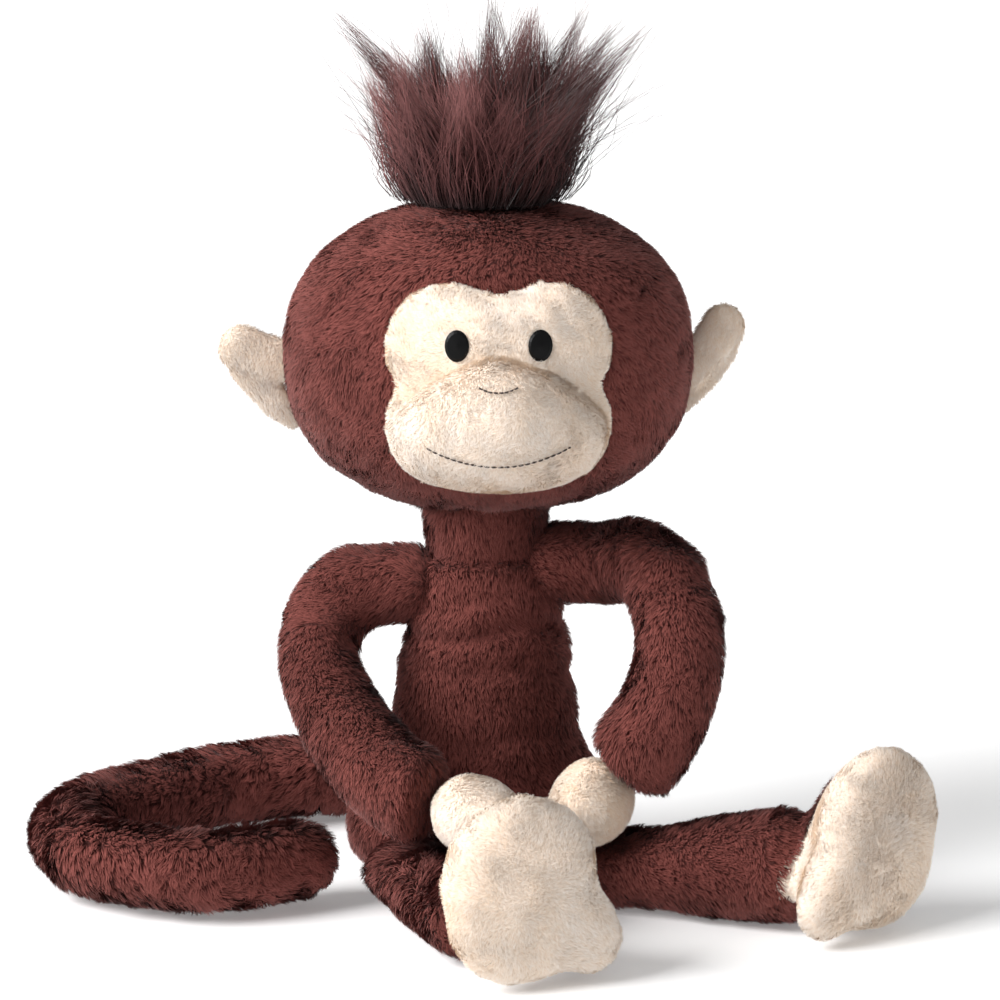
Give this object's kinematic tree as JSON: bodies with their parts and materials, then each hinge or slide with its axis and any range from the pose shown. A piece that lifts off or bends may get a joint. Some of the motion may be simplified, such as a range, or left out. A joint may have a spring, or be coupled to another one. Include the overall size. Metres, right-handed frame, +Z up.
{
  "type": "stuffed monkey",
  "caption": "Seated plush monkey with a cream face and muzzle, a tuft of hair, round ears, bent arms resting over splayed legs, large flat feet and a long thick tail curled round on the ground.",
  "frame": {"origin": "middle of the flat underside of the seat, on the surface the toy sits on", "axes": "+Z up, -Y the way the toy faces, +X towards the toy's own left"},
  "size_m": [0.3652, 0.2797, 0.3566],
  "materials": {
    "brown_plush": "long soft pile",
    "hair_plush": "long straight pile",
    "cream_plush": "short brushed pile",
    "black_thread": "satin embroidery",
    "grey_thread": "matt thread",
    "brown_thread": "matt thread",
    "pellet_bag": "plain woven",
    "stuffing": "loose fibre"
  },
  "bodies": {
    "torso": {"torso_cover": "brown_plush", "torso_stuffing": "stuffing", "seat_pellet_bag": "pellet_bag", "back_closing_seam": "brown_thread"},
    "neck": {"neck_cover": "brown_plush", "neck_stuffing": "stuffing"},
    "head": {"head_cover": "brown_plush", "head_stuffing": "stuffing", "face_panel": "cream_plush", "muzzle_cover": "cream_plush", "muzzle_stuffing": "stuffing", "right_eye_embroidery": "black_thread", "left_eye_embroidery": "black_thread", "nose_stitch": "grey_thread", "mouth_stitch": "grey_thread", "hair_backing": "brown_plush", "hair_tuft": "hair_plush"},
    "right_ear": {"right_ear_front": "cream_plush", "right_ear_back": "cream_plush"},
    "right_upper_arm": {"right_upper_sleeve": "brown_plush", "right_upper_arm_stuffing": "stuffing"},
    "right_forearm": {"right_lower_sleeve": "brown_plush", "right_lower_arm_stuffing": "stuffing"},
    "right_hand": {"right_hand_cover": "cream_plush", "right_hand_stuffing": "stuffing"},
    "right_thigh": {"right_thigh_cover": "brown_plush", "right_thigh_stuffing": "stuffing"},
    "right_shin": {"right_shin_cover": "brown_plush", "right_shin_stuffing": "stuffing"},
    "right_foot": {"right_foot_upper": "brown_plush", "right_foot_sole": "cream_plush", "right_foot_stuffing": "stuffing"},
    "left_ear": {"left_ear_front": "cream_plush", "left_ear_back": "cream_plush"},
    "left_upper_arm": {"left_upper_sleeve": "brown_plush", "left_upper_arm_stuffing": "stuffing"},
    "left_forearm": {"left_lower_sleeve": "brown_plush", "left_lower_arm_stuffing": "stuffing"},
    "left_hand": {"left_hand_cover": "cream_plush", "left_hand_stuffing": "stuffing"},
    "left_thigh": {"left_thigh_cover": "brown_plush", "left_thigh_stuffing": "stuffing"},
    "left_shin": {"left_shin_cover": "brown_plush", "left_shin_stuffing": "stuffing"},
    "left_foot": {"left_foot_upper": "brown_plush", "left_foot_sole": "cream_plush", "left_foot_stuffing": "stuffing"},
    "tail_root": {"tail_root_cover": "brown_plush", "tail_root_stuffing": "stuffing"},
    "tail_middle": {"tail_middle_cover": "brown_plush", "tail_middle_stuffing": "stuffing"},
    "tail_end": {"tail_end_cover": "brown_plush", "tail_end_stuffing": "stuffing"}
  },
  "joints": [
    {"name": "neck_turn", "type": "hinge", "parent": "torso", "child": "neck", "pos_m": [0, 0, 0.134], "axis": [0, 0, 1], "range_deg": [-30, 30]},
    {"name": "head_nod", "type": "hinge", "parent": "neck", "child": "head", "pos_m": [0, 0, 0.15], "axis": [1, 0, 0], "range_deg": [-10, 12]},
    {"name": "right_ear_fold", "type": "hinge", "parent": "head", "child": "right_ear", "pos_m": [-0.07888, 0.018, 0.1985], "axis": [0, 0, 1], "range_deg": [-25, 25]},
    {"name": "left_ear_fold", "type": "hinge", "parent": "head", "child": "left_ear", "pos_m": [0.08301, 0.018, 0.2065], "axis": [0, 0, 1], "range_deg": [-25, 25]},
    {"name": "right_shoulder_lift", "type": "hinge", "parent": "torso", "child": "right_upper_arm", "pos_m": [-0.05284, -0.00542, 0.11926], "axis": [-1, 0, 0], "range_deg": [0, 30]},
    {"name": "right_elbow_bend", "type": "hinge", "parent": "right_upper_arm", "child": "right_forearm", "pos_m": [-0.05899, -0.04835, 0.07852], "axis": [-1, 0, 0], "range_deg": [0, 50]},
    {"name": "right_wrist_turn", "type": "hinge", "parent": "right_forearm", "child": "right_hand", "pos_m": [-0.0047, -0.10197, 0.05023], "axis": [0, 0, 1], "range_deg": [-25, 25]},
    {"name": "left_shoulder_lift", "type": "hinge", "parent": "torso", "child": "left_upper_arm", "pos_m": [0.04934, -0.00685, 0.12864], "axis": [-1, 0, 0], "range_deg": [0, 10]},
    {"name": "left_elbow_bend", "type": "hinge", "parent": "left_upper_arm", "child": "left_forearm", "pos_m": [0.07601, -0.06074, 0.11724], "axis": [-0.9578, -0.2873, 0], "range_deg": [0, 45]},
    {"name": "left_wrist_turn", "type": "hinge", "parent": "left_forearm", "child": "left_hand", "pos_m": [0.04318, -0.06551, 0.04713], "axis": [0, 0, 1], "range_deg": [-25, 25]},
    {"name": "right_hip_spread", "type": "hinge", "parent": "torso", "child": "right_thigh", "pos_m": [-0.03033, -0.0565, 0.0143], "axis": [0, 0, -1], "range_deg": [-10, 45]},
    {"name": "right_knee_lift", "type": "hinge", "parent": "right_thigh", "child": "right_shin", "pos_m": [-0.01399, -0.09735, 0.01514], "axis": [-0.9285, -0.3714, 0], "range_deg": [0, 9]},
    {"name": "right_ankle_turn", "type": "hinge", "parent": "right_shin", "child": "right_foot", "pos_m": [0.01286, -0.16448, 0.0388], "axis": [0, 0, -1], "range_deg": [-20, 20]},
    {"name": "left_hip_spread", "type": "hinge", "parent": "torso", "child": "left_thigh", "pos_m": [0.04209, -0.05215, 0.0143], "axis": [0, 0, 1], "range_deg": [-10, 30]},
    {"name": "left_knee_lift", "type": "hinge", "parent": "left_thigh", "child": "left_shin", "pos_m": [0.08269, -0.0683, 0.01951], "axis": [-0.3697, -0.9291, 0], "range_deg": [0, 25]},
    {"name": "left_ankle_turn", "type": "hinge", "parent": "left_shin", "child": "left_foot", "pos_m": [0.14997, -0.09507, 0.0388], "axis": [0, 0, 1], "range_deg": [-10, 20]},
    {"name": "tail_root_wag", "type": "hinge", "parent": "torso", "child": "tail_root", "pos_m": [-0.00905, 0.06098, 0.0198], "axis": [0, 0, -1], "range_deg": [0, 50]},
    {"name": "tail_middle_uncurl", "type": "hinge", "parent": "tail_root", "child": "tail_middle", "pos_m": [-0.13214, 0.03802, 0.0198], "axis": [0, 0, -1], "range_deg": [0, 80]},
    {"name": "tail_end_uncurl", "type": "hinge", "parent": "tail_middle", "child": "tail_end", "pos_m": [-0.14341, -0.06347, 0.0198], "axis": [0, 0, -1], "range_deg": [0, 80]}
  ]
}
